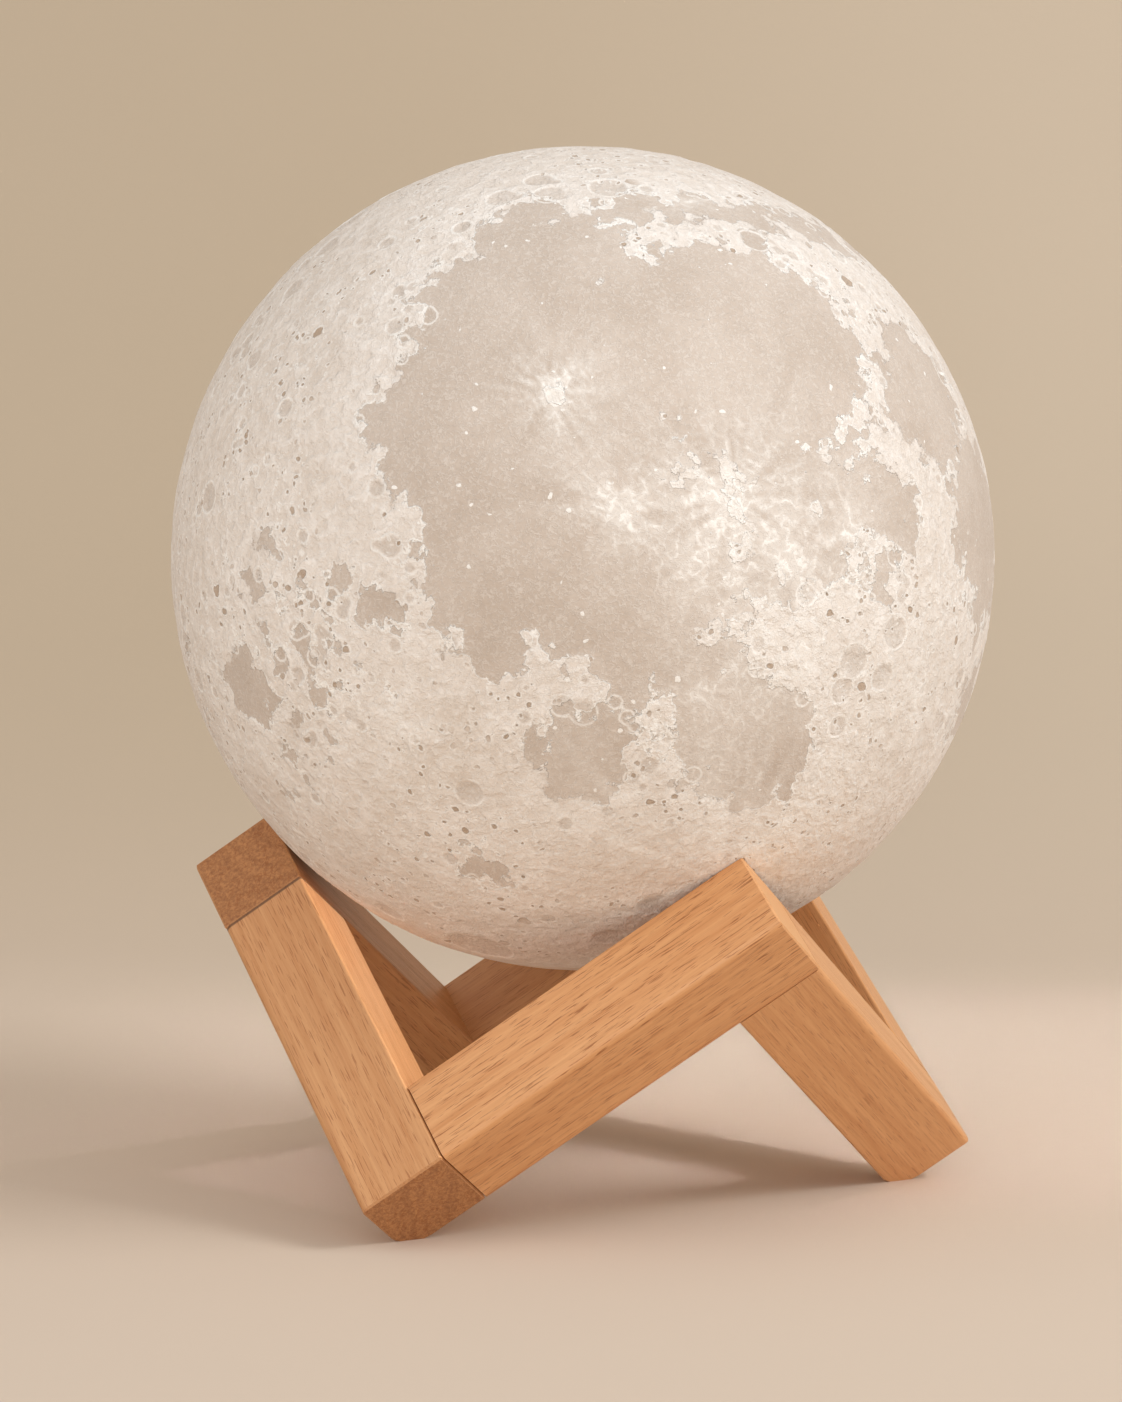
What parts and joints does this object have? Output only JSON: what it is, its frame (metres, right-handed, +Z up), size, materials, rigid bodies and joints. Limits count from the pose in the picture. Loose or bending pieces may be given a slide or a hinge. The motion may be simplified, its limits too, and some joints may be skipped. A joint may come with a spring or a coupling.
{
  "type": "moon lamp",
  "caption": "Globe lamp with a moon relief that rests loose in a cradle of square beech sticks and holds a rechargeable twist-in light module.",
  "frame": {"origin": "on the table, under the globe's centre, which is also the middle of the three feet", "axes": "+Z up along the globe's axis, -Y towards the front foot, +X to the right of it"},
  "size_m": [0.15, 0.15, 0.1898],
  "materials": {
    "beech": "satin clear-lacquered beech, short dark flecks along the grain",
    "dowel_birch": "plain turned birch",
    "printed_moon": "matt 3D-printed PLA with a raised and pitted moon relief, faintly translucent",
    "white_plastic": "fine-textured moulded ABS",
    "frosted_plastic": "frosted polypropylene diffuser",
    "touch_steel": "circular brushed stainless steel",
    "port_steel": "drawn stainless sheet",
    "screw_steel": "zinc-plated steel",
    "gold_contact": "gold-plated contact",
    "clear_plastic": "clear polycarbonate",
    "black_plastic": "moulded contact carrier",
    "board_green": "glass-fibre board with solder mask",
    "chip_black": "moulded electronic packages",
    "board_white": "white-coated aluminium circuit board",
    "led_yellow": "phosphor-filled silicone in white packages",
    "led_white": "small indicator package",
    "battery_foil": "laminated foil pouch",
    "grey_foam": "closed-cell foam",
    "lead_red": "silicone-insulated wire",
    "lead_black": "silicone-insulated wire",
    "lead_white": "silicone-insulated wire",
    "heat_silicone": "soft heat-conducting silicone",
    "cushion_silicone": "translucent silicone"
  },
  "bodies": {
    "stand_front": {"front_right_stick": "beech", "right_stick": "beech", "rear_right_stick": "beech", "front_glued_dowels": "dowel_birch", "locating_dowels": "dowel_birch"},
    "stand_rear": {"rear_left_stick": "beech", "left_stick": "beech", "front_left_stick": "beech", "rear_glued_dowels": "dowel_birch"},
    "globe": {"moon_shell": "printed_moon", "neck_ring": "white_plastic"},
    "light_module": {"module_housing": "white_plastic", "base_cover": "white_plastic", "touch_ring": "touch_steel", "touch_pin": "gold_contact", "light_pipe": "clear_plastic", "charging_port": "port_steel", "port_tongue": "black_plastic", "control_board": "board_green", "board_parts": "chip_black", "indicator_led": "led_white", "battery_pouch": "battery_foil", "battery_pad": "grey_foam", "red_lead": "lead_red", "black_lead": "lead_black", "light_leads": "lead_white", "light_pedestal": "white_plastic", "heat_pad": "heat_silicone", "light_board": "board_white", "light_chips": "led_yellow", "frosted_dome": "frosted_plastic", "cushion_ring": "cushion_silicone", "cover_screws": "screw_steel"}
  },
  "joints": [
    {"name": "stand_pull_apart", "type": "slide", "parent": "stand_front", "child": "stand_rear", "axis": [-0.7071, -0.4082, -0.5774], "range_m": [0, 0.012]},
    {"name": "globe_lift", "type": "slide", "parent": "stand_front", "child": "globe", "axis": [0, 0, 1], "range_m": [0, 0.06]},
    {"name": "module_twist", "type": "hinge", "parent": "globe", "child": "light_module", "pos_m": [0, 0, 0.04985], "axis": [0, 0, 1], "range_deg": [0, 45]}
  ]
}
